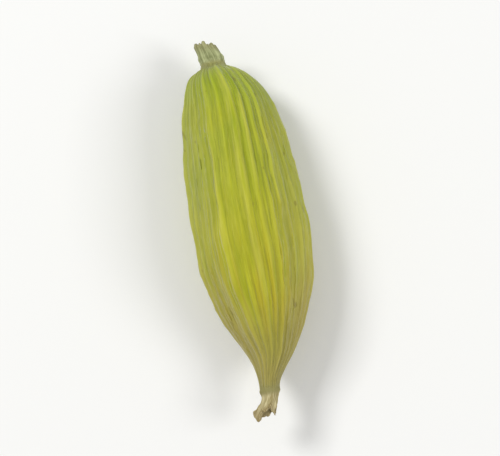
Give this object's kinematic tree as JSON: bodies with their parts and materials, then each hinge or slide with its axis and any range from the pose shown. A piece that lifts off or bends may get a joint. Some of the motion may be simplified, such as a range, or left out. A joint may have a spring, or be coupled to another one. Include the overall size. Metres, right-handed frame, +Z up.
{
  "type": "green cardamom pod",
  "caption": "Dried spindle-shaped seed pod with blunt angles, lengthwise ribs, a stalk stub and a withered flower tube, lying on a small flat spot.",
  "frame": {"origin": "on the small flat spot that the pod rests on, under the middle of its body", "axes": "+Y along the pod towards its stalk, +Z up, away from the surface that it lies on"},
  "size_m": [0.0063, 0.0213, 0.0062],
  "materials": {
    "husk": "satin",
    "stalk": "matte",
    "flower_remnant": "matte"
  },
  "bodies": {
    "root": {"husk": "husk", "stalk": "stalk", "flower_remnant": "flower_remnant"}
  },
  "joints": []
}
